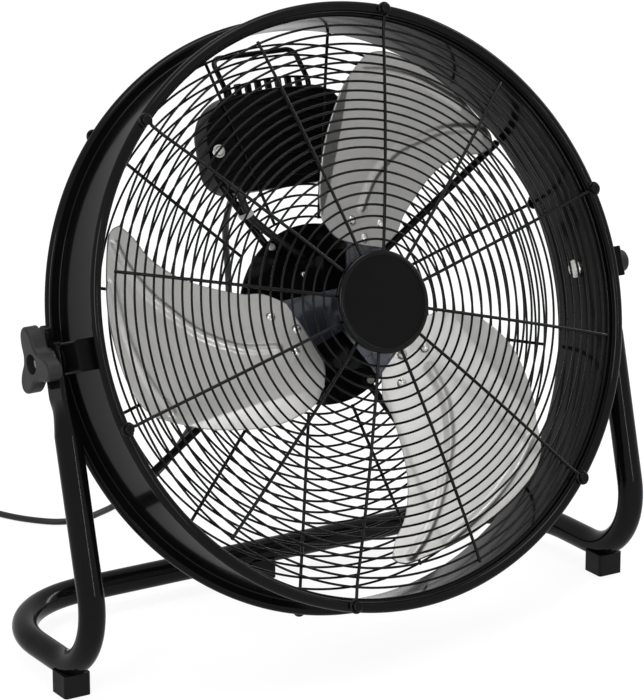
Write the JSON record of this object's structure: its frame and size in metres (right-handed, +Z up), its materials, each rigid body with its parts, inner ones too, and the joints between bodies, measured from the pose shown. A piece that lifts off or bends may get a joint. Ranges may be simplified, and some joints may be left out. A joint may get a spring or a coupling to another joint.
{
  "type": "floor fan",
  "caption": "Drum floor fan: a round steel shell with wire grilles and metal blades tilts between the legs of a bent tube stand and is clamped by side knobs.",
  "frame": {"origin": "centre of the fan's footprint on the floor, measured without the mains cord", "axes": "+X to the right seen from the front, +Y to the back, +Z up; the fan blows towards -Y and upwards"},
  "size_m": [0.631, 0.7945, 0.5795],
  "materials": {
    "black_steel": "satin powder coat",
    "hub_metal": "gloss lacquer",
    "blade_metal": "brushed",
    "zinc_steel": "zinc plated",
    "core_steel": "laminated",
    "copper": "enamelled wire",
    "black_plastic": "fine grain",
    "badge_plastic": "gloss rim and satin face",
    "black_rubber": "matt",
    "grey_plastic": "plain",
    "plated_pins": "nickel plated"
  },
  "bodies": {
    "stand": {"stand_tube": "black_steel", "front_foot_left": "black_rubber", "front_foot_right": "black_rubber", "rear_foot": "black_rubber", "foot_screws": "zinc_steel", "cord_drop": "black_rubber", "cord_run": "black_rubber", "cord_coil": "black_rubber", "cord_tie": "black_plastic", "plug_body": "black_rubber", "plug_pins": "plated_pins"},
    "drum": {"drum_shell": "black_steel", "front_grille_rings": "black_steel", "front_grille_spokes": "black_steel", "rear_grille_rings": "black_steel", "rear_grille_spokes": "black_steel", "grille_screws": "black_steel", "grille_centre_plate": "black_steel", "motor_plate": "black_steel", "motor_struts": "black_steel", "motor_housing": "black_steel", "motor_bell": "black_steel", "carry_handle": "black_steel", "badge_screw": "zinc_steel", "strut_screws": "zinc_steel", "motor_screws": "zinc_steel", "bell_screws": "zinc_steel", "motor_bearings": "zinc_steel", "box_screws": "zinc_steel", "box_washers": "zinc_steel", "handle_nuts": "zinc_steel", "pivot_bolts": "zinc_steel", "clamp_washers": "zinc_steel", "stator": "core_steel", "windings": "copper", "pivot_bracket_right": "black_plastic", "pivot_bracket_left": "black_plastic", "control_box": "black_plastic", "box_cover": "black_plastic", "rotary_switch": "black_plastic", "capacitor": "black_plastic", "hub_badge": "badge_plastic", "friction_washers": "black_rubber", "strain_relief": "black_rubber", "motor_cable": "black_rubber", "cable_tie": "grey_plastic"},
    "rotor": {"motor_shaft": "zinc_steel", "rotor_core": "core_steel", "hub_spider": "hub_metal", "blade_1": "blade_metal", "blade_2": "blade_metal", "blade_3": "blade_metal", "blade_rivets": "zinc_steel", "hub_nut": "zinc_steel"},
    "speed_knob": {"speed_knob": "black_plastic", "switch_shaft": "zinc_steel"},
    "clamp_left": {"clamp_knob_left": "black_plastic", "knob_nut_left": "zinc_steel"},
    "clamp_right": {"clamp_knob_right": "black_plastic", "knob_nut_right": "zinc_steel"}
  },
  "joints": [
    {"name": "drum_tilt", "type": "hinge", "parent": "stand", "child": "drum", "pos_m": [0, -0.01174, 0.305], "axis": [-1, 0, 0], "range_deg": [-50, 70], "deforming": ["cord_drop"]},
    {"name": "rotor_spin", "type": "hinge", "parent": "drum", "child": "rotor", "pos_m": [0, -0.01174, 0.305], "axis": [0, 0.9421, -0.3355], "continuous": true},
    {"name": "speed_select", "type": "hinge", "parent": "drum", "child": "speed_knob", "pos_m": [0.026, 0.12685, 0.43186], "axis": [0, -0.9421, 0.3355], "range_deg": [0, 135]},
    {"name": "left_clamp_turn", "type": "hinge", "parent": "drum", "child": "clamp_left", "pos_m": [-0.306, -0.01174, 0.305], "axis": [-1, 0, 0], "range_deg": [0, 360]},
    {"name": "right_clamp_turn", "type": "hinge", "parent": "drum", "child": "clamp_right", "pos_m": [0.306, -0.01174, 0.305], "axis": [1, 0, 0], "range_deg": [0, 360]}
  ]
}
